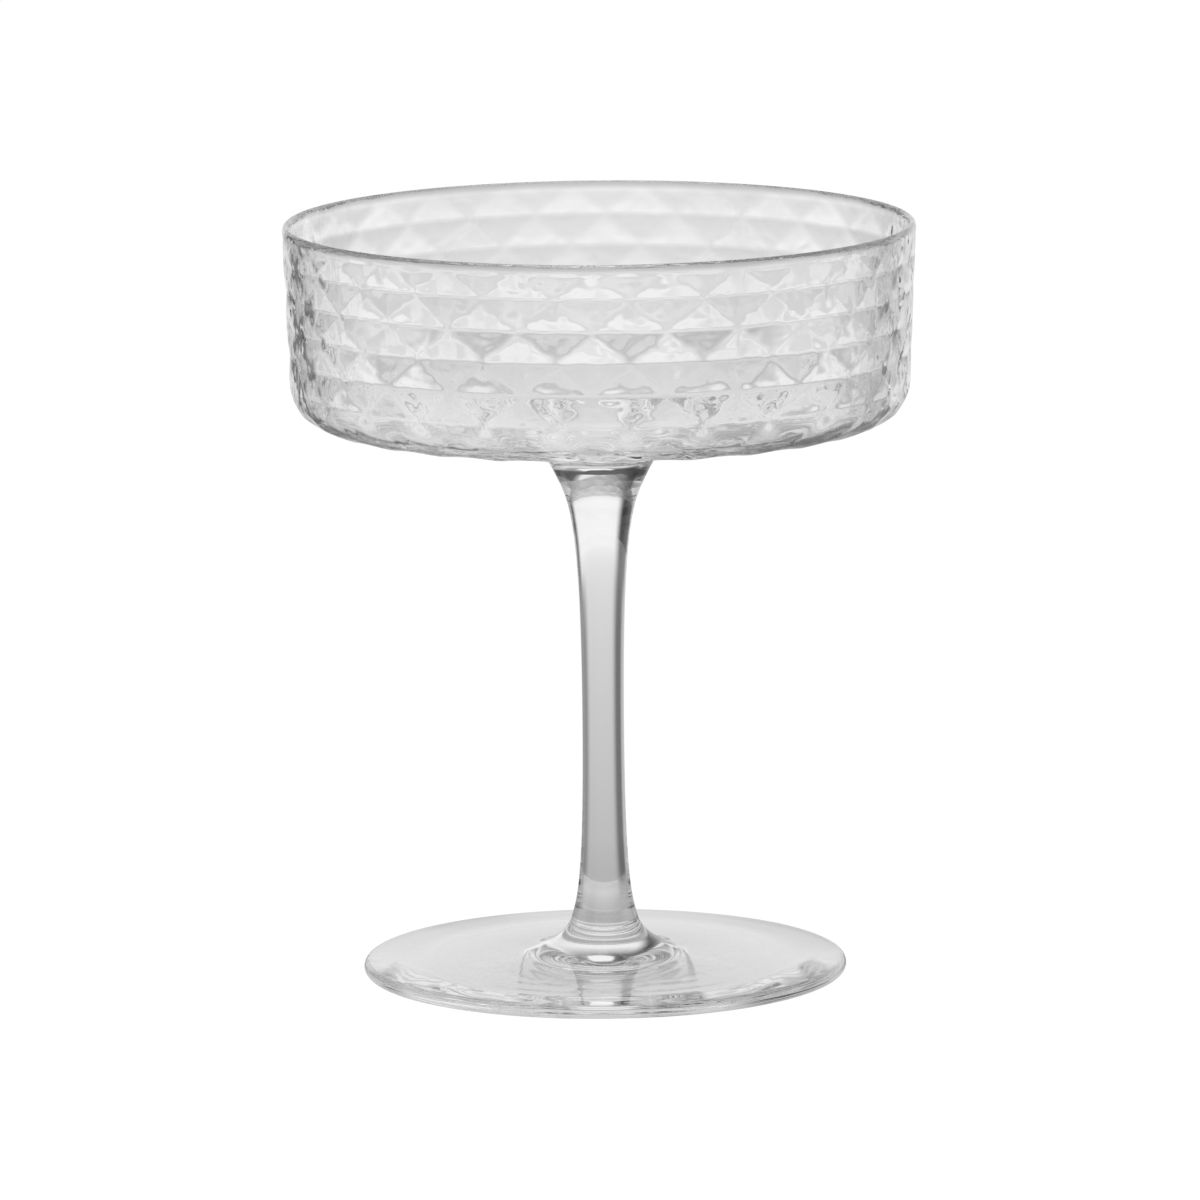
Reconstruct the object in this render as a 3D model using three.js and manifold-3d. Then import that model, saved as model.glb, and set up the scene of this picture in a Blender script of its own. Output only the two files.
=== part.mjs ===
// Champagne coupe: a shallow bowl moulded with triangular facets, a drawn stem and a round foot.
// The three glass pieces meet face to face at two flat, round joints where they are fused hot.
// Millimetres, +Z up, the foot rests on z = 0 and the axis of the glass is the Z axis.

import * as THREE from "three";
import { mergeVertices } from "three/addons/utils/BufferGeometryUtils.js";
import Module from "manifold-3d";

// Overall
const glassHeight = 120.8;
const rimDiameter = 100;

// Bowl, outside: rows of triangular facets run down the wall and round the lower corner
const wallBaseDiameter = 98;
const facetColumns = 27;
const facetRows = 5;
const facetRowHeight = 5.05;
const cornerRadius = 6.2;
const cornerFacetRows = 2;
const undersideFallDegrees = 4;
const lipRadius = 0.4;

// Bowl, inside
const rimThickness = 1.3;
const wallThickness = 1.7;
const floorThickness = 2.3;
const floorFallDegrees = 0.6;
const innerCornerRadius = 4.6;

// Boss under the bowl
const bossDiameter = 15.6;
const bossHeight = 5.9;
const bossFilletWidth = 9;

// Stem
const waistDiameter = 6.48;
const waistHeight = 40;
const stemTopFlareDegrees = 25.4;
const stemTopFlareReach = 5.7;
const waistReachUp = 35.4;
const waistReachDown = 26;
const stemFootFlareDegrees = 15.4;
const stemFootFlareReach = 3.2;

// Foot
const footDiameter = 76.8;
const footEdgeThickness = 2.2;
const footPlateRise = 1.3;
const footHubHeight = 8.75;
const footHubDiameter = 10.6;
const footFilletWidth = 8.5;
const restRingWidth = 7;
const undersideHollow = 0.8;

// Smoothness of the round surfaces
const cavitySegments = 3 * facetColumns;
const stemSegments = 48;
const footSegments = 72;
const curveSteps = 12;
const arcSteps = 8;

const radians = THREE.MathUtils.degToRad;
const wasm = await Module();
wasm.setup();

// Revolves an outline of (radius, height) points about Z, with its first facet edge towards -Y.
function revolve(outline, segments) {
  const geometry = new THREE.LatheGeometry(outline, segments);
  return geometry.rotateX(Math.PI / 2);
}

// Keeps only positions, shared between neighbouring triangles.
function weld(geometry) {
  geometry.deleteAttribute("normal");
  geometry.deleteAttribute("uv");
  const welded = mergeVertices(geometry, 1e-4);
  const corners = welded.index.array;
  const kept = [];
  for (let i = 0; i < corners.length; i += 3) {
    const [a, b, c] = corners.slice(i, i + 3);
    if (a !== b && b !== c && c !== a) {
      kept.push(a, b, c);
    }
  }
  welded.setIndex(kept);
  return welded;
}

function toSolid(geometry) {
  const welded = weld(geometry);
  const mesh = new wasm.Mesh({
    numProp: 3,
    vertProperties: new Float32Array(welded.attributes.position.array),
    triVerts: new Uint32Array(welded.index.array),
  });
  return new wasm.Manifold(mesh);
}

function toGeometry(solid) {
  const mesh = solid.getMesh();
  const geometry = new THREE.BufferGeometry();
  geometry.setAttribute("position", new THREE.BufferAttribute(mesh.vertProperties, 3));
  geometry.setIndex(new THREE.BufferAttribute(mesh.triVerts, 1));
  geometry.computeVertexNormals();
  return geometry;
}

function glassMesh(name, geometry) {
  const material = new THREE.MeshStandardMaterial({
    color: 0xe6eaea,
    roughness: 0.03,
    metalness: 0,
    transparent: true,
    opacity: 0.35,
  });
  const mesh = new THREE.Mesh(geometry, material);
  mesh.name = name;
  return mesh;
}

// Points along a curve from one end to the other, without the first point.
function sweep(curve, steps) {
  return curve.getPoints(steps).slice(1);
}

// Arc between two headings, given as angles of the outward normal in the (radius, height) plane.
function arc(centre, radius, from, to, steps) {
  const points = [];
  for (let i = 0; i <= steps; i += 1) {
    const angle = from + ((to - from) * i) / steps;
    points.push(new THREE.Vector2(centre.x + radius * Math.cos(angle), centre.y + radius * Math.sin(angle)));
  }
  return points;
}

// Levels and radii of the bowl's outside
const rimRadius = rimDiameter / 2;
const wallBaseRadius = wallBaseDiameter / 2;
const topRowLevel = glassHeight - lipRadius;
const wallHeight = facetRows * facetRowHeight;
const wallBaseLevel = topRowLevel - wallHeight;
const wallLean = Math.atan2(rimRadius - wallBaseRadius, wallHeight);
const undersideFall = radians(undersideFallDegrees);
const cornerCentre = new THREE.Vector2(
  wallBaseRadius - cornerRadius * Math.cos(wallLean),
  wallBaseLevel + cornerRadius * Math.sin(wallLean),
);
const undersideHeading = undersideFall - Math.PI / 2;
const undersideStart = new THREE.Vector2(
  cornerCentre.x + cornerRadius * Math.cos(undersideHeading),
  cornerCentre.y + cornerRadius * Math.sin(undersideHeading),
);

// Boss under the bowl and its joint with the stem
const bossRadius = bossDiameter / 2;
const bossFilletRadius = bossRadius + bossFilletWidth;
const bossFilletLevel = undersideStart.y - (undersideStart.x - bossFilletRadius) * Math.tan(undersideFall);
const stemJointLevel = bossFilletLevel - bossHeight;
const stemTopFlare = radians(stemTopFlareDegrees);

// The outside starts as a revolved polygon. Each facet row is then turned half a facet further than the
// row below it, which splits the wall into flat triangles standing alternately on their base and their tip.
function bowlBody() {
  const joint = new THREE.Vector2(bossRadius, stemJointLevel);
  const rise = bossHeight / 2;
  const reach = bossFilletWidth / 2;
  const fillet = new THREE.CubicBezierCurve(
    joint,
    new THREE.Vector2(joint.x + rise * Math.tan(stemTopFlare), joint.y + rise),
    new THREE.Vector2(bossFilletRadius - reach, bossFilletLevel - reach * Math.tan(undersideFall)),
    new THREE.Vector2(bossFilletRadius, bossFilletLevel),
  );
  const below = [new THREE.Vector2(0, stemJointLevel), joint, ...sweep(fillet, curveSteps)];
  const facetOutline = arc(cornerCentre, cornerRadius, undersideHeading, -wallLean, cornerFacetRows);
  for (let row = 1; row <= facetRows; row += 1) {
    const level = wallBaseLevel + row * facetRowHeight;
    const radius = wallBaseRadius + (rimRadius - wallBaseRadius) * (row / facetRows);
    facetOutline.push(new THREE.Vector2(radius, level));
  }
  const lipCentre = new THREE.Vector2(rimRadius - lipRadius, topRowLevel);
  const lip = arc(lipCentre, lipRadius, 0, Math.PI / 2, 2).slice(1);
  const outline = [...below, ...facetOutline, ...lip, new THREE.Vector2(0, glassHeight)];

  const body = new THREE.LatheGeometry(outline, facetColumns);
  const position = body.attributes.position;
  const halfFacet = Math.PI / facetColumns;
  const firstRow = below.length;
  const lastRow = below.length + facetOutline.length - 1;
  const upright = new THREE.Vector3(0, 1, 0);
  const vertex = new THREE.Vector3();
  for (let i = 0; i < position.count; i += 1) {
    const row = i % outline.length;
    const rowsBelowRim = lastRow - THREE.MathUtils.clamp(row, firstRow, lastRow);
    vertex.fromBufferAttribute(position, i).applyAxisAngle(upright, -rowsBelowRim * halfFacet);
    position.setXYZ(i, vertex.x, vertex.y, vertex.z);
  }
  return body.rotateX(Math.PI / 2);
}

// Smooth inside: a nearly level floor, a rounded corner, a leaning wall and an eased lip.
function bowlCavity() {
  const floorFall = radians(floorFallDegrees);
  const innerRimRadius = rimRadius - rimThickness;
  const innerWallRadius = wallBaseRadius - wallThickness;
  const innerLean = Math.atan2(innerRimRadius - innerWallRadius, wallHeight);
  const floorEdgeLevel = undersideStart.y + floorThickness;
  const floorHeading = floorFall - Math.PI / 2;
  const centreLevel = floorEdgeLevel + innerCornerRadius * Math.cos(floorFall);
  const wallAtCentre = innerWallRadius + (centreLevel - wallBaseLevel) * Math.tan(innerLean);
  const centre = new THREE.Vector2(wallAtCentre - innerCornerRadius / Math.cos(innerLean), centreLevel);
  const corner = arc(centre, innerCornerRadius, floorHeading, -innerLean, arcSteps);
  const floorCentreLevel = corner[0].y - corner[0].x * Math.tan(floorFall);
  const easeLevel = glassHeight - lipRadius;
  const outline = [
    new THREE.Vector2(0, floorCentreLevel),
    ...corner,
    new THREE.Vector2(innerRimRadius, easeLevel),
    new THREE.Vector2(innerRimRadius + lipRadius / 2, glassHeight),
    new THREE.Vector2(innerRimRadius + lipRadius, glassHeight + lipRadius),
    new THREE.Vector2(0, glassHeight + lipRadius),
  ];
  return revolve(outline, cavitySegments);
}

function makeBowl() {
  const hollowed = toSolid(bowlBody()).subtract(toSolid(bowlCavity()));
  return glassMesh("bowl", toGeometry(hollowed));
}

// Drawn stem: two smooth curves that meet at the waist, flaring to the foot hub and to the bowl's boss.
function makeStem() {
  const footHubRadius = footHubDiameter / 2;
  const waistRadius = waistDiameter / 2;
  const footFlare = radians(stemFootFlareDegrees);
  const bottom = new THREE.Vector2(footHubRadius, footHubHeight);
  const waist = new THREE.Vector2(waistRadius, waistHeight);
  const top = new THREE.Vector2(bossRadius, stemJointLevel);
  const lower = new THREE.CubicBezierCurve(
    bottom,
    new THREE.Vector2(
      bottom.x - stemFootFlareReach * Math.sin(footFlare),
      bottom.y + stemFootFlareReach * Math.cos(footFlare),
    ),
    new THREE.Vector2(waist.x, waist.y - waistReachDown),
    waist,
  );
  const upper = new THREE.CubicBezierCurve(
    waist,
    new THREE.Vector2(waist.x, waist.y + waistReachUp),
    new THREE.Vector2(
      top.x - stemTopFlareReach * Math.sin(stemTopFlare),
      top.y - stemTopFlareReach * Math.cos(stemTopFlare),
    ),
    top,
  );
  const outline = [
    new THREE.Vector2(0, footHubHeight),
    bottom,
    ...sweep(lower, curveSteps),
    ...sweep(upper, curveSteps),
    new THREE.Vector2(0, stemJointLevel),
  ];
  return glassMesh("stem", weld(revolve(outline, stemSegments)));
}

// Foot: a thin plate that rises a little towards the hub, with a round edge and a shallow hollow below
// inside the flat ring it stands on.
function makeFoot() {
  const edgeRadius = footEdgeThickness / 2;
  const edgeCentre = new THREE.Vector2(footDiameter / 2 - edgeRadius, edgeRadius);
  const footHubRadius = footHubDiameter / 2;
  const filletRadius = footHubRadius + footFilletWidth;
  const plateSlope = Math.atan2(footPlateRise, edgeCentre.x - filletRadius);
  const edge = arc(edgeCentre, edgeRadius, -Math.PI / 2, Math.PI / 2 - plateSlope, arcSteps);
  const edgeTop = edge[edge.length - 1];
  const filletLevel = edgeTop.y + (edgeTop.x - filletRadius) * Math.tan(plateSlope);
  const hubFlare = radians(stemFootFlareDegrees);
  const hubDrop = (footHubHeight - filletLevel) / 2;
  const reach = footFilletWidth / 2;
  const hub = new THREE.CubicBezierCurve(
    new THREE.Vector2(filletRadius, filletLevel),
    new THREE.Vector2(filletRadius - reach, filletLevel + reach * Math.tan(plateSlope)),
    new THREE.Vector2(footHubRadius + hubDrop * Math.tan(hubFlare), footHubHeight - hubDrop),
    new THREE.Vector2(footHubRadius, footHubHeight),
  );
  const restInnerRadius = edgeCentre.x - restRingWidth;
  const hollow = new THREE.QuadraticBezierCurve(
    new THREE.Vector2(0, undersideHollow),
    new THREE.Vector2(restInnerRadius / 2, undersideHollow),
    new THREE.Vector2(restInnerRadius, 0),
  );
  const outline = [
    new THREE.Vector2(0, undersideHollow),
    ...sweep(hollow, curveSteps),
    ...edge,
    new THREE.Vector2(filletRadius, filletLevel),
    ...sweep(hub, curveSteps),
    new THREE.Vector2(0, footHubHeight),
  ];
  return glassMesh("foot", weld(revolve(outline, footSegments)));
}

const glass = new THREE.Group();
glass.name = "champagne_coupe";
glass.add(makeBowl(), makeStem(), makeFoot());

export default glass;
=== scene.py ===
"""Champagne coupe: faceted bowl, drawn stem and round foot in clear glass, on a pale studio floor."""

import math

import bmesh
import bpy
from bpy.props import FloatProperty, FloatVectorProperty, IntProperty, PointerProperty
from bpy.types import Operator, Panel, PropertyGroup
from mathutils import Matrix, Vector
from mathutils.geometry import interpolate_bezier


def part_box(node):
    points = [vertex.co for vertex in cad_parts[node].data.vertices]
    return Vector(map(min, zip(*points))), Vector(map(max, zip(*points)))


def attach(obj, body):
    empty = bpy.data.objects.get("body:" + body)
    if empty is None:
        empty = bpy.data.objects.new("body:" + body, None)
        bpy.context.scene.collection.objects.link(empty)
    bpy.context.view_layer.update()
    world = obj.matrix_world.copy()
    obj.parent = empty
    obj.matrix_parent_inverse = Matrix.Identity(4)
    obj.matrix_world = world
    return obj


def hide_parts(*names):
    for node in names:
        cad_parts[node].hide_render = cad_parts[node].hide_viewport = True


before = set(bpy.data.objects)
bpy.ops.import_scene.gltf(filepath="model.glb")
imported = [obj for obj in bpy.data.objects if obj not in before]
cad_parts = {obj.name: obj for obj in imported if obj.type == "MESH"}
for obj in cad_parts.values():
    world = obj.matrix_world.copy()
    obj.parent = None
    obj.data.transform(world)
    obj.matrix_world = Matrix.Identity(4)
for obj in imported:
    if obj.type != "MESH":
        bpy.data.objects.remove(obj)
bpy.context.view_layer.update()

bl_info = {
    "name": "Champagne Coupe",
    "version": (1, 0, 0),
    "blender": (4, 5, 0),
    "location": "3D View > Sidebar > Coupe",
    "description": "Builds a faceted champagne coupe and the studio that it stands in",
    "category": "Add Mesh",
}

MM = 0.001
STEM_LOW, STEM_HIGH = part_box("stem")
FOOT_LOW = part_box("foot")[0]
BOWL_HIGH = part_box("bowl")[1]

# Corners nearer than this are one
WELD = 0.002 * MM
# Faces nearer than this to the level of a fused joint are the joint
JOINT_REACH = 0.01 * MM

# Rings in one facet row, and columns in half a facet
FACET_STEPS = 12
# Steps of the bowl's outline
LIP_STEPS = 7
BOSS_STEPS = 8
UNDERSIDE_STEPS = 5
INNER_WALL_STEPS = 24
INNER_CORNER_STEPS = 12
INNER_FLOOR_STEPS = 6
# Steps of the stem's outline, below and above the waist
STEM_LOWER_STEPS = 48
STEM_UPPER_STEPS = 72
# Steps of the foot's outline
FOOT_HOLLOW_STEPS = 24
FOOT_REST_STEPS = 4
FOOT_EDGE_STEPS = 24
FOOT_PLATE_STEPS = 60
FOOT_FILLET_STEPS = 32
# Sectors that stem and foot are turned in, and the steps in each
ROUND_SECTORS = 16
STEM_SECTOR_STEPS = 8
FOOT_SECTOR_STEPS = 12

# Height below the rim over which the facets and the seams come up to their depth
LIP_FADE = 3 * MM
SEAM_FADE = 2 * MM
# Height over which the inner facets die out at the corner, and width over which the outer ones do underneath
INNER_FLOOR_FADE = 4 * MM
UNDERSIDE_FADE = 9 * MM
# Half the width of a mould seam
SEAM_HALF_WIDTH = 0.4 * MM
# Wall rings nearer than this to the lip are left out
LIP_CLEARANCE = 0.1 * MM
# Inside this radius the bowl has no facets
PLAIN_RADIUS = 20 * MM
# A parabola's leads lie this far from its ends towards its peak
PARABOLA_LEAD = 2 / 3

# Dull flecks and faint clouds in the glass, by their number against that of the waves
FLECK_SCALE = 9
FLECK_DETAIL = 1.0
FLECK_RANGE = (0.55, 0.85)
FLECK_ROUGHNESS = 0.02
CLOUD_SCALE = 0.1
CLOUD_SHADE = 0.985
# Share of the lamp's light that goes through one face of the glass to the floor
SHADOW_LIGHT = 0.93
# Light turns this often inside the solid glass before it is given up
GLASS_BOUNCES = 64

# Painted light and shade that the floor glows with in the glass, near the glass and far from it, as (degrees
# from straight behind it, level)
NEAR_FLOOR = (
    (-180, 0.9), (-150, 0.85), (-128, 0.6), (-105, 0.75), (-58, 0.5), (-43, 0.08), (-31, 0.07),
    (43, 0.17), (72, 0.26), (100, 0.75), (128, 0.6), (150, 0.85), (180, 0.9),
)
FAR_FLOOR = (
    (-180, 0.95), (-95, 0.8), (-66, 0.55), (-54, 0.18), (-33, 0.13),
    (52, 0.1), (60, 0.16), (74, 0.6), (95, 0.8), (180, 0.95),
)
# Share of that light that the strip straight behind the glass takes over, near the glass and far from it
NEAR_STRIP = ((-180, 0.0), (-33, 0.0), (-17, 1.0), (24, 1.0), (43, 0.0), (180, 0.0))
FAR_STRIP = ((-180, 0.0), (-36, 0.0), (-19, 1.0), (40, 1.0), (54, 0.0), (180, 0.0))
# Metres between which the near floor gives way to the far floor
FLOOR_BLEND = (0.3, 0.9)
# Level of the strip's painted light, dim at the glass and bright away from it: at the glass, and where the
# square root of the metres from it is STRIP_REACH
STRIP_LEVELS = (0.31, 0.94)
STRIP_REACH = 1.2
# Painted shadow on the floor under the foot: its level under the middle of the foot and under its edge, and
# the metres at which it has them
FOOT_SHADOW_LEVELS = (0.43, 0.56)
UNDER_REACH = (0.008, 0.034)
# Metres between which the painted shadow under the foot gives way to the floor round it
FOOT_BLEND = (0.026, 0.05)
# Paper level to the camera, where the lamp's light and the shadow come on top
FLOOR_WHITE = 1.025
# Share of the floor's own light where it is seen, and the grey that the lamp lights
GLOW_SHARE = 0.96
PAPER_GREY = 0.8

# Light of the room at low and at steep angles, as (degrees from straight behind the glass, level)
LOW_ROOM = (
    (-180, 0.95), (-152, 0.8), (-130, 0.15), (-95, 0.9), (-76, 0.8), (-60, 0.1), (-34, 0.02), (-20, 0.94),
    (40, 0.94), (54, 0.08), (75, 0.85), (95, 0.95), (130, 0.2), (152, 0.8), (180, 0.95),
)
HIGH_ROOM = (
    (-180, 0.6), (-152, 0.5), (-132, 0.02), (-60, 0.02), (-28, 0.08),
    (4, 0.36), (38, 0.34), (66, 0.05), (125, 0.05), (152, 0.5), (180, 0.6),
)
# Sines of the angles between which the low room gives way to the high one, and that to the ceiling
ROOM_BLEND = (0.22, 0.6)
CEILING_BLEND = (0.88, 0.95)
CEILING_LEVEL = 0.08
# Direction and level of the soft light above the backdrop that shows in the head of the stem
SOFTBOX = (0.08, 0.57, 0.82)
SOFTBOX_LEVEL = 0.95
# Cosines off that direction between which the soft light comes up
SOFTBOX_EDGE = (0.955, 0.98)

# Lamp that lights the floor, in metres and watts
LAMP_SIZE = 0.8
LAMP_WATTS = 14.0
LAMP_PLACE = (0.1, 0.4, 1.2)
# The floor lies this far below the foot
FLOOR_GAP = 0.02 * MM
# Millimetres across the camera's sensor, and metres that it sees
SENSOR_WIDTH = 36.0
CAMERA_REACH = 100.0
# Highest value of a setting that is a share
SHARE_LIMIT = 4.0


def length(name, description, default):
    """A size in metres that shows in the scene's units."""
    return FloatProperty(name=name, description=description, default=default, unit="LENGTH", precision=5)


def angle(name, description, degrees):
    """An angle that is given in degrees and kept in radians."""
    return FloatProperty(name=name, description=description, default=math.radians(degrees), subtype="ANGLE")


def share(name, description, default):
    """A plain number that is never below nought."""
    return FloatProperty(name=name, description=description, default=default, min=0.0, max=SHARE_LIMIT)


class BowlSettings(PropertyGroup):
    """Sizes and facets of the bowl"""

    rim_diameter: length("Rim", "Diameter over the facet corners at the rim", 100.5 * MM)
    wall_base_diameter: length("Wall base", "Diameter over the corners of the lowest wall row", 98.5 * MM)
    facet_columns: IntProperty(name="Columns", description="Facets round the wall", default=27, min=3)
    facet_rows: IntProperty(name="Rows", description="Facet rows on the wall", default=5, min=1)
    facet_row_height: length("Row height", "Height of one facet row", 5.05 * MM)
    facet_top_drop: length("Top drop", "From the rim down to the first row of facet corners", 0.4 * MM)
    corner_rows: IntProperty(name="Corner rows", description="Facet rows round the corner", default=2, min=1)
    corner_radius: length("Corner", "Radius between wall and underside", 6.5 * MM)
    corner_flat: share("Corner flat", "How far the corner is flattened between its facet rows", 0.2)
    underside_fall: angle("Underside fall", "Slope of the underside towards the stem", 4.0)
    rim_thickness: length("Rim thickness", "Glass thickness just below the lip", 1.4 * MM)
    lip_height: length("Lip height", "How far down the fire-polished lip is rounded", 1.3 * MM)
    wall_thickness: length("Wall thickness", "Glass thickness at the foot of the wall", 1.7 * MM)
    floor_thickness: length("Floor thickness", "Glass thickness at the edge of the floor", 2.1 * MM)
    floor_fall: angle("Floor fall", "Slope of the inner floor towards the middle", 0.6)
    inner_corner_radius: length("Inner corner", "Radius between inner wall and floor", 3.6 * MM)
    boss_fillet_width: length("Boss fillet", "How far the boss spreads into the underside", 9 * MM)
    boss_flare: angle("Boss flare", "Lean of the boss where the stem joins it", 25.4)
    relief: share("Relief", "Depth of the facets against that of flat ones", 1.4)
    ridge_softness: share("Ridge softness", "Rounding of the slanting facet edges, per mille of radius", 2.5)
    row_softness: share("Row softness", "Rounding of the level facet edges", 0.006)
    rim_relief: share("Rim relief", "Share of the facet depth that is left at the fire-polished lip", 0.1)
    seam_count: IntProperty(name="Seams", description="Mould seams down the wall", default=3, min=0)
    seam_azimuth: angle("Seam azimuth", "First mould seam, from straight in front", -40.0 / 3)
    seam_height: length("Seam height", "How far a mould seam stands out", 0.03 * MM)
    inner_relief: share("Inner relief", "Depth of the inner wall's facets against that of flat ones", 0.85)
    inner_ridge_softness: share("Inner ridge", "Rounding of the inner wall's slanting edges", 3.5)
    inner_row_softness: share("Inner row", "Rounding of the inner wall's level edges", 0.08)


class StemSettings(PropertyGroup):
    """Sizes of the stem"""

    waist_diameter: length("Waist", "Thinnest diameter of the stem", 6.65 * MM)
    waist_height: length("Waist height", "Height of the waist above the table", 40 * MM)
    waist_reach_up: length("Reach up", "How far the waist stays slim upwards", 35.4 * MM)
    waist_reach_down: length("Reach down", "How far the waist stays slim downwards", 26 * MM)
    top_diameter: length("Top", "Diameter at the joint with the bowl", 15.6 * MM)
    top_flare: angle("Top flare", "Lean of the stem at the bowl", 25.4)
    top_reach: length("Top reach", "Length of the upper flare's straight start", 5.7 * MM)
    foot_diameter: length("Bottom", "Diameter at the joint with the foot", 10.6 * MM)
    foot_flare: angle("Bottom flare", "Lean of the stem at the foot", 15.4)
    foot_reach: length("Bottom reach", "Length of the lower flare's straight start", 3.2 * MM)


class FootSettings(PropertyGroup):
    """Sizes of the foot"""

    diameter: length("Diameter", "Across the foot plate", 77.1 * MM)
    edge_thickness: length("Edge", "Thickness of the rounded edge", 2.2 * MM)
    plate_rise: length("Rise", "Rise of the plate from its edge to the hub", 1.3 * MM)
    fillet_width: length("Fillet", "How far the hub spreads into the plate", 8.5 * MM)
    rest_ring_width: length("Rest ring", "Width of the flat ring that the glass stands on", 7 * MM)
    hollow: length("Hollow", "Depth of the hollow under the plate", 0.8 * MM)
    ring_height: length("Ring height", "Height of the faint rings on the pressed plate", 0.01 * MM)
    ring_spacing: length("Ring spacing", "From one faint ring to the next", 3.6 * MM)
    ring_radius: length("Ring radius", "Middle of the ringed part of the plate", 29 * MM)
    ring_band: length("Ring band", "Half the width of the ringed part", 8 * MM)


class GlassSettings(PropertyGroup):
    """Colour and ripple of the glass"""

    tint: FloatVectorProperty(
        name="Tint",
        description="Colour of light through the clear glass",
        subtype="COLOR",
        size=3,
        default=(0.985, 0.988, 0.985),
    )
    refraction: FloatProperty(name="IOR", description="Refractive index of soda-lime glass", default=1.52)
    bowl_ripple: length("Bowl ripple", "Height of the faint waves in the pressed bowl", 0.1 * MM)
    stem_ripple: length("Stem ripple", "Height of the faint waves in the drawn stem", 0.003 * MM)
    foot_ripple: length("Foot ripple", "Height of the faint waves in the pressed foot", 0.005 * MM)
    ripple_scale: FloatProperty(name="Ripple scale", description="Waves to the metre", default=300.0)
    ripple_detail: FloatProperty(name="Ripple detail", description="Finer waves on the waves", default=0.0)
    ripple_swirl: FloatProperty(name="Ripple swirl", description="Pull on the waves", default=0.5)


class StageSettings(PropertyGroup):
    """Camera and floor"""

    lens: FloatProperty(name="Lens", description="Focal length in millimetres", default=312.3)
    distance: length("Distance", "Camera to the axis of the glass", 1632 * MM)
    height: length("Height", "Camera above the table", 343.5 * MM)
    azimuth: angle("Azimuth", "Camera turned about the glass", 1.3)
    pitch: angle("Pitch", "Camera tilted down", 9.853)
    roll: angle("Roll", "Camera rolled clockwise", 0.5)
    yaw: angle("Yaw", "Camera turned off the axis of the glass", 0.012)
    floor_size: length("Floor", "Side of the square floor", 6.0)


def arc(centre, radius, start, stop, steps):
    """Points of an arc in the (radius, height) plane, between two headings from its centre."""
    turns = [start + (stop - start) * i / steps for i in range(steps + 1)]
    return [centre + radius * Vector((math.cos(t), math.sin(t))) for t in turns]


def straight(start, end, steps):
    """Evenly spaced points of a line, without its first point."""
    return [start.lerp(end, i / steps) for i in range(1, steps + 1)]


def curve(start, lead, follow, end, steps):
    """Points of a Bezier curve, without its first point."""
    return [Vector(p) for p in interpolate_bezier(start, lead, follow, end, steps + 1)[1:]]


def smooth(share_of_way):
    """Eases from 0 to 1 and stays there on either side."""
    way = min(max(share_of_way, 0.0), 1.0)
    return way * way * (3 - 2 * way)


def turn_outline(bm, outline, sectors, steps):
    """Spins an outline of (radius, height) points into one sector, copies that round the axis of the glass
    and returns the new corners."""
    known = set(bm.verts)
    corners = [bm.verts.new((0.0, -p.x, p.y)) for p in outline]
    edges = [bm.edges.new(pair) for pair in zip(corners, corners[1:])]
    around = {"cent": (0, 0, 0), "axis": (0, 0, 1)}
    bmesh.ops.spin(bm, geom=corners + edges, angle=math.tau / sectors, steps=steps, **around)
    sector = [v for v in bm.verts if v not in known]
    faces = {f for v in sector for f in v.link_faces}
    edges = {e for v in sector for e in v.link_edges}
    rest = math.tau * (sectors - 1) / sectors
    geom = sector + list(edges) + list(faces)
    bmesh.ops.spin(bm, geom=geom, angle=rest, steps=sectors - 1, use_duplicate=True, **around)
    bmesh.ops.remove_doubles(bm, verts=[v for v in bm.verts if v not in known], dist=WELD)
    return [v for v in bm.verts if v not in known]


def put_in_order(bm):
    """Sorts the faces by their three lowest corners, so that every run has them in the same order."""
    count = len(bm.verts)
    bm.verts.index_update()

    def rank(face):
        first, second, third = sorted(vert.index for vert in face.verts)[:3]
        return (first * count + second) * count + third

    bm.faces.sort(key=rank)


def finish_piece(name, bm, joint_levels, glass, joint):
    """Closes a turned mesh and makes it a piece of glass whose fused faces have the joint's material."""
    bmesh.ops.remove_doubles(bm, verts=bm.verts, dist=WELD)
    bmesh.ops.recalc_face_normals(bm, faces=bm.faces)
    put_in_order(bm)
    for face in bm.faces:
        face.smooth = True
        middle = face.calc_center_median()
        if any(abs(middle.z - level) < JOINT_REACH for level in joint_levels):
            face.material_index = 1
    for edge in bm.edges:
        kinds = {f.material_index for f in edge.link_faces}
        edge.smooth = len(kinds) == 1
    mesh = bpy.data.meshes.new(name)
    bm.to_mesh(mesh)
    bm.free()
    piece = bpy.data.objects.new(name, mesh)
    bpy.context.collection.objects.link(piece)
    mesh.materials.append(glass)
    mesh.materials.append(joint)
    return piece


def facet_depth(columns, azimuth, row, ridge_softness, row_softness):
    """Depth of the facets below the round wall, as a share of its radius.

    Row numbers are whole where facet corners lie. Even rows have a corner on azimuth 0, odd rows half a
    facet further on. The slanting edges stay on the round wall, and each triangle is hollowed between
    them, deepest in the middle of its level edge.
    """
    half = math.pi / columns
    sagitta = 1 - math.cos(half)
    swing = 1 - math.acos((1 - row_softness) * math.cos(math.pi * row)) / math.pi
    to_even = (azimuth / half + 1) % 2 - 1
    to_odd = (azimuth / half) % 2 - 1
    on_even = sagitta * ((1 - swing) ** 2 - to_even**2)
    on_odd = sagitta * (swing**2 - to_odd**2)
    return (on_even + on_odd + math.hypot(on_even - on_odd, ridge_softness)) / 2


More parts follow.
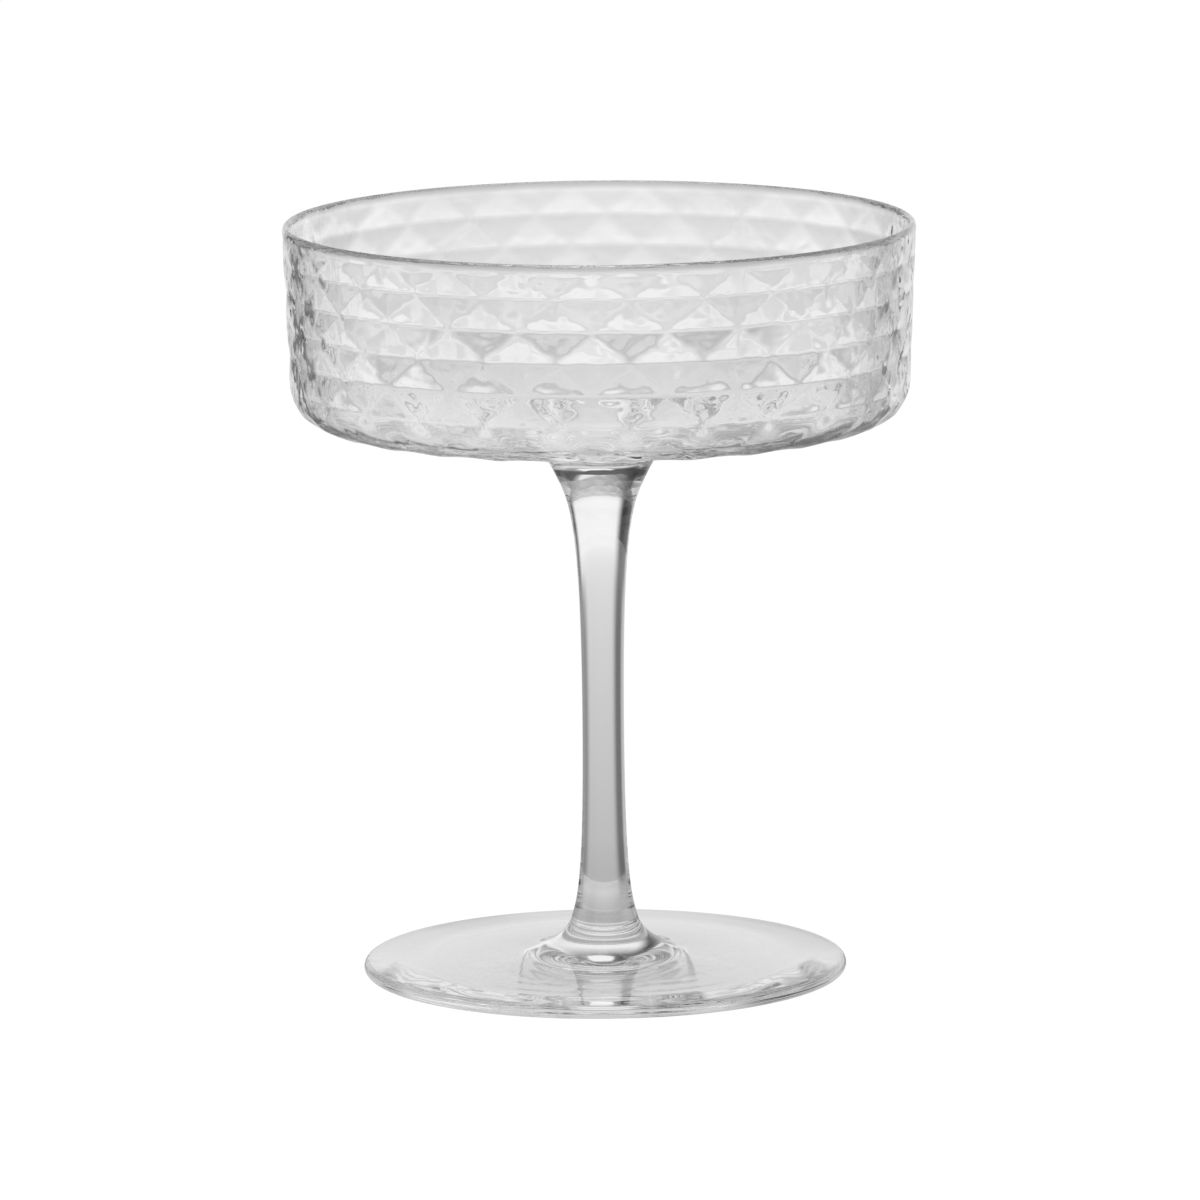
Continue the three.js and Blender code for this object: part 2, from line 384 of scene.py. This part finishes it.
class BowlForm:
    """The bowl's levels and radii, worked out from its settings."""

    def __init__(self, bowl):
        self.bowl = bowl
        self.rim_level = BOWL_HIGH[2]
        self.joint_level = STEM_HIGH[2]
        self.top_level = self.rim_level - bowl.facet_top_drop
        self.wall_height = bowl.facet_rows * bowl.facet_row_height
        self.base_level = self.top_level - self.wall_height
        self.rim_radius = bowl.rim_diameter / 2
        self.base_radius = bowl.wall_base_diameter / 2
        self.lean = math.atan2(self.rim_radius - self.base_radius, self.wall_height)
        outward = Vector((math.cos(self.lean), -math.sin(self.lean)))
        self.corner = Vector((self.base_radius, self.base_level)) - bowl.corner_radius * outward
        self.underside_heading = bowl.underside_fall - math.pi / 2
        heading = Vector((math.cos(self.underside_heading), math.sin(self.underside_heading)))
        self.underside = self.corner + bowl.corner_radius * heading
        self.lip_level = self.rim_level - bowl.lip_height

    def lip(self, start, stop):
        """Half of the fire-polished lip, taller than it is thick."""
        half = self.bowl.rim_thickness / 2
        stretch = Vector((half, self.bowl.lip_height))
        middle = Vector((self.rim_radius - half, self.lip_level))
        return [middle + stretch * p for p in arc(Vector((0, 0)), 1, start, stop, LIP_STEPS)]

    def outside(self, steps):
        """Outline from the joint with the stem, under the bowl and up to the crest of the lip."""
        bowl = self.bowl
        boss = Vector((bpy.context.scene.coupe_stem.top_diameter / 2, self.joint_level))
        spread = Vector((math.cos(bowl.underside_fall), math.sin(bowl.underside_fall)))
        fillet_x = boss.x + bowl.boss_fillet_width
        fillet = self.underside - spread * ((self.underside.x - fillet_x) / spread.x)
        rise = (fillet.y - boss.y) / 2
        lead = boss + Vector((rise * math.tan(bowl.boss_flare), rise))
        follow = fillet - spread * (bowl.boss_fillet_width / 2)
        rows = steps * bowl.facet_rows
        top = Vector((self.rim_radius, self.top_level))
        lip = self.lip(0, math.pi / 2)
        corner_steps = steps * bowl.corner_rows
        corner = arc(self.corner, bowl.corner_radius, self.underside_heading, -self.lean, corner_steps)
        rows_at = corner[::steps]
        for i, point in enumerate(corner[:-1]):
            chord = rows_at[i // steps].lerp(rows_at[i // steps + 1], i % steps / steps)
            corner[i] = point.lerp(chord, bowl.corner_flat)
        wall = [corner[-1].lerp(top, i / rows) for i in range(1, rows)]
        wall = [p for p in wall if p.y < self.lip_level - LIP_CLEARANCE]
        return (
            [Vector((0, boss.y)), boss]
            + curve(boss, lead, follow, fillet, BOSS_STEPS)
            + straight(fillet, self.underside, UNDERSIDE_STEPS)
            + corner[1:]
            + wall
            + lip
        )

    def inside(self):
        """Outline from the crest of the lip down the inner wall and over the floor to the axis."""
        bowl = self.bowl
        rim = Vector((self.rim_radius - bowl.rim_thickness, self.lip_level))
        base = Vector((self.base_radius - bowl.wall_thickness, self.base_level))
        lean = math.atan2(rim.x - base.x, rim.y - base.y)
        radius = bowl.inner_corner_radius
        level = self.underside.y + bowl.floor_thickness + radius * math.cos(bowl.floor_fall)
        wall_x = base.x + (level - base.y) * math.tan(lean)
        centre = Vector((wall_x - radius / math.cos(lean), level))
        corner = arc(centre, radius, -lean, bowl.floor_fall - math.pi / 2, INNER_CORNER_STEPS)
        middle = Vector((0, corner[-1].y - corner[-1].x * math.tan(bowl.floor_fall)))
        lip = self.lip(math.pi / 2, math.pi)
        self.inner_base = corner[0].y
        wall = straight(rim, corner[0], INNER_WALL_STEPS)
        return lip + wall + corner[1:] + straight(corner[-1], middle, INNER_FLOOR_STEPS)

    def inner_place(self, level):
        """Facet row, heading and strength of the relief at a level of the inner wall."""
        row = max((self.top_level - level) / self.bowl.facet_row_height, 0.0)
        below_rim = smooth((self.rim_level - level) / LIP_FADE)
        above_floor = smooth((level - self.inner_base + INNER_FLOOR_FADE / 2) / INNER_FLOOR_FADE)
        return row, -self.lean, below_rim * above_floor

    def facet_place(self, radius, level):
        """Facet row, heading and strength of the relief at a point of the outside."""
        bowl = self.bowl
        if level >= self.base_level:
            row = max((self.top_level - level) / bowl.facet_row_height, 0.0)
            polish = smooth((self.rim_level - level) / LIP_FADE)
            strength = bowl.rim_relief + (1 - bowl.rim_relief) * polish
            return row, -self.lean, strength
        heading = max(math.atan2(level - self.corner.y, radius - self.corner.x), self.underside_heading)
        share_round = (-self.lean - heading) / (-self.lean - self.underside_heading)
        row = bowl.facet_rows + bowl.corner_rows * share_round
        if radius >= self.underside.x:
            return row, heading, 1.0
        fade = max(1 - (self.underside.x - radius) / UNDERSIDE_FADE, 0.0)
        return row, heading, fade * fade

    def seam(self, azimuth, radius):
        """Height of a mould seam above the wall."""
        bowl = self.bowl
        if bowl.seam_count == 0:
            return 0.0
        apart = math.tau / bowl.seam_count
        aside = ((azimuth - bowl.seam_azimuth) / apart + 0.5) % 1 - 0.5
        return bowl.seam_height * max(1 - abs(aside * apart * radius) / SEAM_HALF_WIDTH, 0.0)

    def press_facets(self, corners, inner=False):
        """Moves the turned corners in from the round wall to the moulded facets."""
        bowl = self.bowl
        relief = bowl.inner_relief if inner else bowl.relief
        ridge = bowl.inner_ridge_softness if inner else bowl.ridge_softness
        level = bowl.inner_row_softness if inner else bowl.row_softness
        for vert in corners:
            radius = math.hypot(vert.co.x, vert.co.y)
            if radius < PLAIN_RADIUS:
                continue
            azimuth = math.atan2(vert.co.x, -vert.co.y)
            if inner:
                row, heading, strength = self.inner_place(vert.co.z)
            else:
                row, heading, strength = self.facet_place(radius, vert.co.z)
            depth = facet_depth(bowl.facet_columns, azimuth, row, ridge * MM, level)
            move = relief * strength * depth * radius
            if not inner:
                move -= self.seam(azimuth, radius) * smooth((self.rim_level - vert.co.z) / SEAM_FADE)
            outward = Vector((vert.co.x / radius, vert.co.y / radius, 0.0)) * math.cos(heading)
            outward.z = math.sin(heading)
            vert.co -= outward * move

    def crease_facets(self, bm):
        """Splits the round wall's quads along the slanting facet edges."""
        half = math.pi / self.bowl.facet_columns
        for face in list(bm.faces):
            middle = face.calc_center_median()
            if middle.xy.length < self.underside.x:
                continue
            azimuth = math.atan2(middle.x, -middle.y)
            row = self.facet_place(middle.xy.length, middle.z)[0]
            falling = (math.floor(azimuth / half) + math.floor(row)) % 2 == 0
            ends = []
            for vert in face.verts:
                onward = middle.x * vert.co.y > middle.y * vert.co.x
                above = vert.co.z > middle.z
                if (onward != above) == falling:
                    ends.append(vert)
            bmesh.utils.face_split(face, *ends)


def grey(level):
    """The colour of a light level."""
    return (level, level, level, 1.0)


def node(tree, kind, values=None, **properties):
    """Adds a shader node, with its properties and the values of its unlinked inputs."""
    made = tree.nodes.new(kind)
    for key, value in properties.items():
        setattr(made, key, value)
    for socket, value in (values or {}).items():
        made.inputs[socket].default_value = value
    return made


def feed(tree, value, socket):
    """Sets an input to a number, or links it to another node's output."""
    if isinstance(value, (int, float)):
        socket.default_value = value
    else:
        tree.links.new(value, socket)


def math_node(tree, operation, first, second):
    """The result of a sum with two numbers or outputs."""
    made = node(tree, "ShaderNodeMath", operation=operation)
    feed(tree, first, made.inputs[0])
    feed(tree, second, made.inputs[1])
    return made.outputs[0]


def map_node(tree, value, low, high, to_low=0.0, to_high=1.0, interpolation_type="SMOOTHSTEP"):
    """A value carried over from one range to another and held at its ends."""
    ranges = {"From Min": low, "From Max": high, "To Min": to_low, "To Max": to_high}
    made = node(tree, "ShaderNodeMapRange", ranges, interpolation_type=interpolation_type)
    tree.links.new(value, made.inputs["Value"])
    return made.outputs["Result"]


def blend_node(tree, share_of_second, first, second):
    """A level between two others."""
    made = node(tree, "ShaderNodeMix", data_type="FLOAT")
    feed(tree, share_of_second, made.inputs["Factor"])
    feed(tree, first, made.inputs["A"])
    feed(tree, second, made.inputs["B"])
    return made.outputs["Result"]


def round_ramp(tree, x, y, stops):
    """Light level round the glass, eased between (degrees from straight behind it, level) stops."""
    turn = math_node(tree, "ARCTAN2", x, y)
    turn = map_node(tree, turn, -math.pi, math.pi, interpolation_type="LINEAR")
    made = node(tree, "ShaderNodeValToRGB")
    made.color_ramp.interpolation = "EASE"
    elements = made.color_ramp.elements
    while len(elements) < len(stops):
        elements.new(0.5)
    for element, (degrees, level) in zip(elements, stops):
        element.position = degrees / 360 + 0.5
        element.color = grey(level)
    tree.links.new(turn, made.inputs["Fac"])
    return made.outputs["Color"]


def new_material(name):
    """A material by name, and whether it is new and still has no nodes."""
    material = bpy.data.materials.get(name)
    if material is None:
        material = bpy.data.materials.new(name)
        material.use_nodes = True
        material.node_tree.nodes.clear()
        return material, True
    return material, False


def pressed_ripple():
    """Node group of the faint waves, the dull flecks and the tint that pressing leaves in clear glass."""
    group = bpy.data.node_groups.get("pressed_ripple")
    if group is not None:
        return group
    glass = bpy.context.scene.coupe_glass
    group = bpy.data.node_groups.new("pressed_ripple", "ShaderNodeTree")
    group.interface.new_socket(name="Height", in_out="OUTPUT", socket_type="NodeSocketFloat")
    group.interface.new_socket(name="Roughness", in_out="OUTPUT", socket_type="NodeSocketFloat")
    group.interface.new_socket(name="Tint", in_out="OUTPUT", socket_type="NodeSocketColor")
    out = node(group, "NodeGroupOutput")
    place = node(group, "ShaderNodeTexCoord")
    scale = glass.ripple_scale
    grain = {"Scale": scale, "Detail": glass.ripple_detail, "Distortion": glass.ripple_swirl}
    waves = node(group, "ShaderNodeTexNoise", grain)
    flecks = node(group, "ShaderNodeTexNoise", {"Scale": FLECK_SCALE * scale, "Detail": FLECK_DETAIL})
    cloud = node(group, "ShaderNodeTexNoise", {"Scale": CLOUD_SCALE * scale})
    for texture in (waves, flecks, cloud):
        group.links.new(place.outputs["Object"], texture.inputs["Vector"])
    group.links.new(waves.outputs["Fac"], out.inputs["Height"])
    dull = map_node(group, flecks.outputs["Fac"], *FLECK_RANGE, 0.0, FLECK_ROUGHNESS)
    group.links.new(dull, out.inputs["Roughness"])
    tint = node(group, "ShaderNodeMix", data_type="RGBA")
    shade = [CLOUD_SHADE * part for part in glass.tint]
    tint.inputs["A"].default_value = (*glass.tint, 1.0)
    tint.inputs["B"].default_value = (*shade, 1.0)
    group.links.new(cloud.outputs["Fac"], tint.inputs["Factor"])
    group.links.new(tint.outputs["Result"], out.inputs["Tint"])
    return group


def clear_glass(name, ripple):
    """Fire-polished soda-lime glass that lets most of the lamp's light through to the floor."""
    material, fresh = new_material(name)
    if not fresh:
        return material
    tree = material.node_tree
    refraction = bpy.context.scene.coupe_glass.refraction
    surface = node(tree, "ShaderNodeBsdfPrincipled", {"IOR": refraction, "Transmission Weight": 1.0})
    detail = node(tree, "ShaderNodeGroup", node_tree=pressed_ripple())
    bump = node(tree, "ShaderNodeBump", {"Strength": 1.0, "Distance": ripple})
    tree.links.new(detail.outputs["Height"], bump.inputs["Height"])
    tree.links.new(bump.outputs["Normal"], surface.inputs["Normal"])
    tree.links.new(detail.outputs["Roughness"], surface.inputs["Roughness"])
    tree.links.new(detail.outputs["Tint"], surface.inputs["Base Color"])
    through = node(tree, "ShaderNodeBsdfTransparent", {"Color": grey(SHADOW_LIGHT)})
    ray = node(tree, "ShaderNodeLightPath")
    mix = node(tree, "ShaderNodeMixShader")
    out = node(tree, "ShaderNodeOutputMaterial")
    tree.links.new(ray.outputs["Is Shadow Ray"], mix.inputs[0])
    tree.links.new(surface.outputs[0], mix.inputs[1])
    tree.links.new(through.outputs[0], mix.inputs[2])
    tree.links.new(mix.outputs[0], out.inputs["Surface"])
    return material


def fused_joint():
    """The inside of a fused joint, where glass meets glass and light goes straight on."""
    material, fresh = new_material("fused_joint")
    if fresh:
        tree = material.node_tree
        surface = node(tree, "ShaderNodeBsdfPrincipled", {"Alpha": 0.0})
        out = node(tree, "ShaderNodeOutputMaterial")
        tree.links.new(surface.outputs[0], out.inputs["Surface"])
    return material


class COUPE_OT_bowl(Operator):
    """Turn the bowl and press its triangular facets"""

    bl_idname = "coupe.bowl"
    bl_label = "Bowl"

    def execute(self, context):
        bowl = context.scene.coupe_bowl
        form = BowlForm(bowl)
        sectors = bowl.facet_columns
        bm = bmesh.new()
        outer = turn_outline(bm, form.outside(FACET_STEPS), sectors, 2 * FACET_STEPS)
        form.crease_facets(bm)
        form.press_facets(outer)
        inner = turn_outline(bm, form.inside(), sectors, 2 * FACET_STEPS)
        form.press_facets(inner, inner=True)
        glass = clear_glass("bowl_glass", context.scene.coupe_glass.bowl_ripple)
        piece = finish_piece("bowl_glass", bm, [form.joint_level], glass, fused_joint())
        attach(piece, "root")
        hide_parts("bowl")
        return {"FINISHED"}


class COUPE_OT_stem(Operator):
    """Turn the drawn stem"""

    bl_idname = "coupe.stem"
    bl_label = "Stem"

    def execute(self, context):
        stem = context.scene.coupe_stem
        low, high = STEM_LOW[2], STEM_HIGH[2]
        bottom = Vector((stem.foot_diameter / 2, low))
        waist = Vector((stem.waist_diameter / 2, stem.waist_height))
        top = Vector((stem.top_diameter / 2, high))
        bottom_lead = Vector((-math.sin(stem.foot_flare), math.cos(stem.foot_flare))) * stem.foot_reach
        top_lead = Vector((math.sin(stem.top_flare), math.cos(stem.top_flare))) * stem.top_reach
        down = waist - Vector((0, stem.waist_reach_down))
        up = waist + Vector((0, stem.waist_reach_up))
        outline = [Vector((0, low)), bottom]
        outline += curve(bottom, bottom + bottom_lead, down, waist, STEM_LOWER_STEPS)
        outline += curve(waist, up, top - top_lead, top, STEM_UPPER_STEPS)
        outline.append(Vector((0, high)))
        bm = bmesh.new()
        turn_outline(bm, outline, ROUND_SECTORS, STEM_SECTOR_STEPS)
        glass = clear_glass("stem_glass", context.scene.coupe_glass.stem_ripple)
        piece = finish_piece("stem_glass", bm, [low, high], glass, fused_joint())
        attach(piece, "root")
        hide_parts("stem")
        return {"FINISHED"}


class COUPE_OT_foot(Operator):
    """Turn the foot plate and its hub"""

    bl_idname = "coupe.foot"
    bl_label = "Foot"

    def execute(self, context):
        foot = context.scene.coupe_foot
        stem = context.scene.coupe_stem
        hub_level = STEM_LOW[2]
        edge_radius = foot.edge_thickness / 2
        centre = Vector((foot.diameter / 2 - edge_radius, edge_radius))
        hub = Vector((stem.foot_diameter / 2, hub_level))
        fillet_x = hub.x + foot.fillet_width
        slope = math.atan2(foot.plate_rise, centre.x - fillet_x)
        edge = arc(centre, edge_radius, -math.pi / 2, math.pi / 2 - slope, FOOT_EDGE_STEPS)
        fillet = Vector((fillet_x, edge[-1].y + (edge[-1].x - fillet_x) * math.tan(slope)))
        reach = foot.fillet_width / 2
        drop = (hub.y - fillet.y) / 2
        lead = fillet + Vector((-reach, reach * math.tan(slope)))
        follow = hub + Vector((drop * math.tan(stem.foot_flare), -drop))
        rest = Vector((centre.x - foot.rest_ring_width, 0))
        middle = Vector((0, foot.hollow))
        dome = Vector((rest.x / 2, foot.hollow))
        inward, outward = middle.lerp(dome, PARABOLA_LEAD), rest.lerp(dome, PARABOLA_LEAD)
        outline = [middle]
        outline += curve(middle, inward, outward, rest, FOOT_HOLLOW_STEPS)
        outline += straight(rest, edge[0], FOOT_REST_STEPS)
        outline += edge[1:]
        for point in straight(edge[-1], fillet, FOOT_PLATE_STEPS):
            band = smooth(1 - abs(point.x - foot.ring_radius) / foot.ring_band)
            wave = math.cos(math.tau * (point.x - foot.ring_radius) / foot.ring_spacing)
            outline.append(point + Vector((0, foot.ring_height * band * wave)))
        outline += curve(fillet, lead, follow, hub, FOOT_FILLET_STEPS)
        outline.append(Vector((0, hub.y)))
        bm = bmesh.new()
        turn_outline(bm, outline, ROUND_SECTORS, FOOT_SECTOR_STEPS)
        glass = clear_glass("foot_glass", context.scene.coupe_glass.foot_ripple)
        piece = finish_piece("foot_glass", bm, [hub_level], glass, fused_joint())
        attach(piece, "root")
        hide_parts("foot")
        return {"FINISHED"}


def paint_floor():
    """White to the camera; in the glass, a floor that glows with painted light, bright behind it and painted
    dark on either side.
    """
    material, fresh = new_material("floor")
    if not fresh:
        return material
    tree = material.node_tree
    place = node(tree, "ShaderNodeTexCoord")
    axes = node(tree, "ShaderNodeSeparateXYZ")
    tree.links.new(place.outputs["Object"], axes.inputs[0])
    x, y = axes.outputs["X"], axes.outputs["Y"]
    reach = node(tree, "ShaderNodeVectorMath", operation="LENGTH")
    tree.links.new(place.outputs["Object"], reach.inputs[0])
    metres = reach.outputs["Value"]
    # painted light of the strip straight behind the glass, dimmest at the glass
    strip = math_node(tree, "POWER", metres, 0.5)
    strip = map_node(tree, strip, 0.0, STRIP_REACH, *STRIP_LEVELS, interpolation_type="LINEAR")
    # painted light and shade of the floor round the glass, as the glass shows it
    near = round_ramp(tree, x, y, NEAR_FLOOR)
    far = round_ramp(tree, x, y, FAR_FLOOR)
    away = map_node(tree, metres, *FLOOR_BLEND)
    aside = blend_node(tree, away, near, far)
    near_strip = round_ramp(tree, x, y, NEAR_STRIP)
    far_strip = round_ramp(tree, x, y, FAR_STRIP)
    around = blend_node(tree, blend_node(tree, away, near_strip, far_strip), aside, strip)
    # painted shadow on the floor under the foot, darkest under the hub
    foot_shadow = map_node(tree, metres, *UNDER_REACH, *FOOT_SHADOW_LEVELS)
    level = blend_node(tree, map_node(tree, metres, *FOOT_BLEND), foot_shadow, around)
    ray = node(tree, "ShaderNodeLightPath")
    white = math_node(tree, "MULTIPLY", ray.outputs["Is Camera Ray"], FLOOR_WHITE)
    glow = node(tree, "ShaderNodeEmission", {"Color": grey(1.0)})
    tree.links.new(math_node(tree, "MAXIMUM", white, level), glow.inputs["Strength"])
    matt = node(tree, "ShaderNodeBsdfDiffuse", {"Color": grey(PAPER_GREY)})
    seen = math_node(tree, "MAXIMUM", ray.outputs["Is Camera Ray"], ray.outputs["Is Glossy Ray"])
    seen = math_node(tree, "MAXIMUM", seen, ray.outputs["Is Transmission Ray"])
    mix = node(tree, "ShaderNodeMixShader")
    out = node(tree, "ShaderNodeOutputMaterial")
    tree.links.new(math_node(tree, "MULTIPLY", seen, GLOW_SHARE), mix.inputs[0])
    tree.links.new(matt.outputs[0], mix.inputs[1])
    tree.links.new(glow.outputs[0], mix.inputs[2])
    tree.links.new(mix.outputs[0], out.inputs["Surface"])
    return material


def paint_world(scene):
    """White to the camera; in the glass, a bright backdrop behind it, a soft light above and a dim room."""
    world = bpy.data.worlds.new("studio")
    scene.world = world
    world.use_nodes = True
    tree = world.node_tree
    tree.nodes.clear()
    place = node(tree, "ShaderNodeTexCoord")
    axes = node(tree, "ShaderNodeSeparateXYZ")
    tree.links.new(place.outputs["Generated"], axes.inputs[0])
    x, y, z = (axes.outputs[axis] for axis in "XYZ")
    low = round_ramp(tree, x, y, LOW_ROOM)
    high = round_ramp(tree, x, y, HIGH_ROOM)
    steep = map_node(tree, z, *ROOM_BLEND, interpolation_type="LINEAR")
    level = blend_node(tree, steep, low, high)
    level = blend_node(tree, map_node(tree, z, *CEILING_BLEND), level, CEILING_LEVEL)
    toward = node(tree, "ShaderNodeVectorMath", operation="DOT_PRODUCT")
    toward.inputs[1].default_value = Vector(SOFTBOX).normalized()
    tree.links.new(place.outputs["Generated"], toward.inputs[0])
    box = map_node(tree, toward.outputs["Value"], *SOFTBOX_EDGE, 0.0, SOFTBOX_LEVEL)
    level = math_node(tree, "MAXIMUM", level, box)
    ray = node(tree, "ShaderNodeLightPath")
    level = math_node(tree, "MAXIMUM", level, ray.outputs["Is Camera Ray"])
    sky = node(tree, "ShaderNodeBackground", {"Color": grey(1.0)})
    tree.links.new(level, sky.inputs["Strength"])
    out = node(tree, "ShaderNodeOutputWorld")
    tree.links.new(sky.outputs[0], out.inputs["Surface"])


def place_camera(scene, stage):
    """Stands the camera in front of the glass and tilts it down."""
    camera = bpy.data.cameras.new("camera")
    camera.sensor_width = SENSOR_WIDTH
    camera.lens = stage.lens
    camera.clip_end = CAMERA_REACH
    piece = bpy.data.objects.new("camera", camera)
    around = Matrix.Rotation(stage.azimuth, 4, "Z")
    stand = Matrix.Translation((0.0, -stage.distance, stage.height))
    look = Matrix.Rotation(math.pi / 2 - stage.pitch, 4, "X")
    aside = Matrix.Rotation(stage.yaw, 4, "Z")
    roll = Matrix.Rotation(-stage.roll, 4, "Z")
    piece.matrix_world = around @ stand @ aside @ look @ roll
    scene.collection.objects.link(piece)
    scene.camera = piece


def place_lamp(scene):
    """Hangs a lamp over the glass that lights the floor and doesn't show in the glass."""
    light = bpy.data.lights.new("overhead", "AREA")
    light.size = LAMP_SIZE
    light.energy = LAMP_WATTS
    lamp = bpy.data.objects.new("overhead", light)
    lamp.location = LAMP_PLACE
    lamp.rotation_euler = (-Vector(LAMP_PLACE)).to_track_quat("-Z", "Y").to_euler()
    lamp.visible_glossy = False
    lamp.visible_transmission = False
    scene.collection.objects.link(lamp)


class COUPE_OT_stage(Operator):
    """Set the pale floor, the soft light and the camera"""

    bl_idname = "coupe.stage"
    bl_label = "Stage"

    def execute(self, context):
        scene = context.scene
        stage = scene.coupe_stage
        bm = bmesh.new()
        bmesh.ops.create_grid(bm, x_segments=1, y_segments=1, size=stage.floor_size / 2)
        mesh = bpy.data.meshes.new("floor")
        bm.to_mesh(mesh)
        bm.free()
        floor = bpy.data.objects.new("floor", mesh)
        floor.location.z = FOOT_LOW[2] - FLOOR_GAP
        scene.collection.objects.link(floor)
        mesh.materials.append(paint_floor())
        paint_world(scene)
        place_camera(scene, stage)
        place_lamp(scene)
        scene.view_settings.view_transform = "Standard"
        scene.cycles.max_bounces = GLASS_BOUNCES
        scene.cycles.glossy_bounces = GLASS_BOUNCES
        scene.cycles.transmission_bounces = GLASS_BOUNCES
        return {"FINISHED"}


class COUPE_PT_panel(Panel):
    """Lists the settings and the steps of the coupe"""

    bl_label = "Champagne Coupe"
    bl_idname = "COUPE_PT_panel"
    bl_space_type = "VIEW_3D"
    bl_region_type = "UI"
    bl_category = "Coupe"

    def draw(self, context):
        for settings, group in SETTINGS.items():
            box = self.layout.box()
            if settings in STEPS:
                box.operator(STEPS[settings].bl_idname)
            else:
                box.label(text="Glass")
            for key in group.__annotations__:
                box.prop(getattr(context.scene, settings), key)


SETTINGS = {
    "coupe_bowl": BowlSettings,
    "coupe_stem": StemSettings,
    "coupe_foot": FootSettings,
    "coupe_glass": GlassSettings,
    "coupe_stage": StageSettings,
}
STEPS = {
    "coupe_bowl": COUPE_OT_bowl,
    "coupe_stem": COUPE_OT_stem,
    "coupe_foot": COUPE_OT_foot,
    "coupe_stage": COUPE_OT_stage,
}
CLASSES = (*SETTINGS.values(), *STEPS.values(), COUPE_PT_panel)


def register():
    """Makes the settings, the operators and the panel known to Blender."""
    for kind in CLASSES:
        bpy.utils.register_class(kind)
    for name, group in SETTINGS.items():
        setattr(bpy.types.Scene, name, PointerProperty(type=group))


def unregister():
    """Takes them away again."""
    for name in SETTINGS:
        delattr(bpy.types.Scene, name)
    for kind in reversed(CLASSES):
        bpy.utils.unregister_class(kind)


def main():
    """Builds the glass and its stage."""
    register()
    bpy.ops.coupe.bowl()
    bpy.ops.coupe.stem()
    bpy.ops.coupe.foot()
    bpy.ops.coupe.stage()


if __name__ == "__main__":
    main()
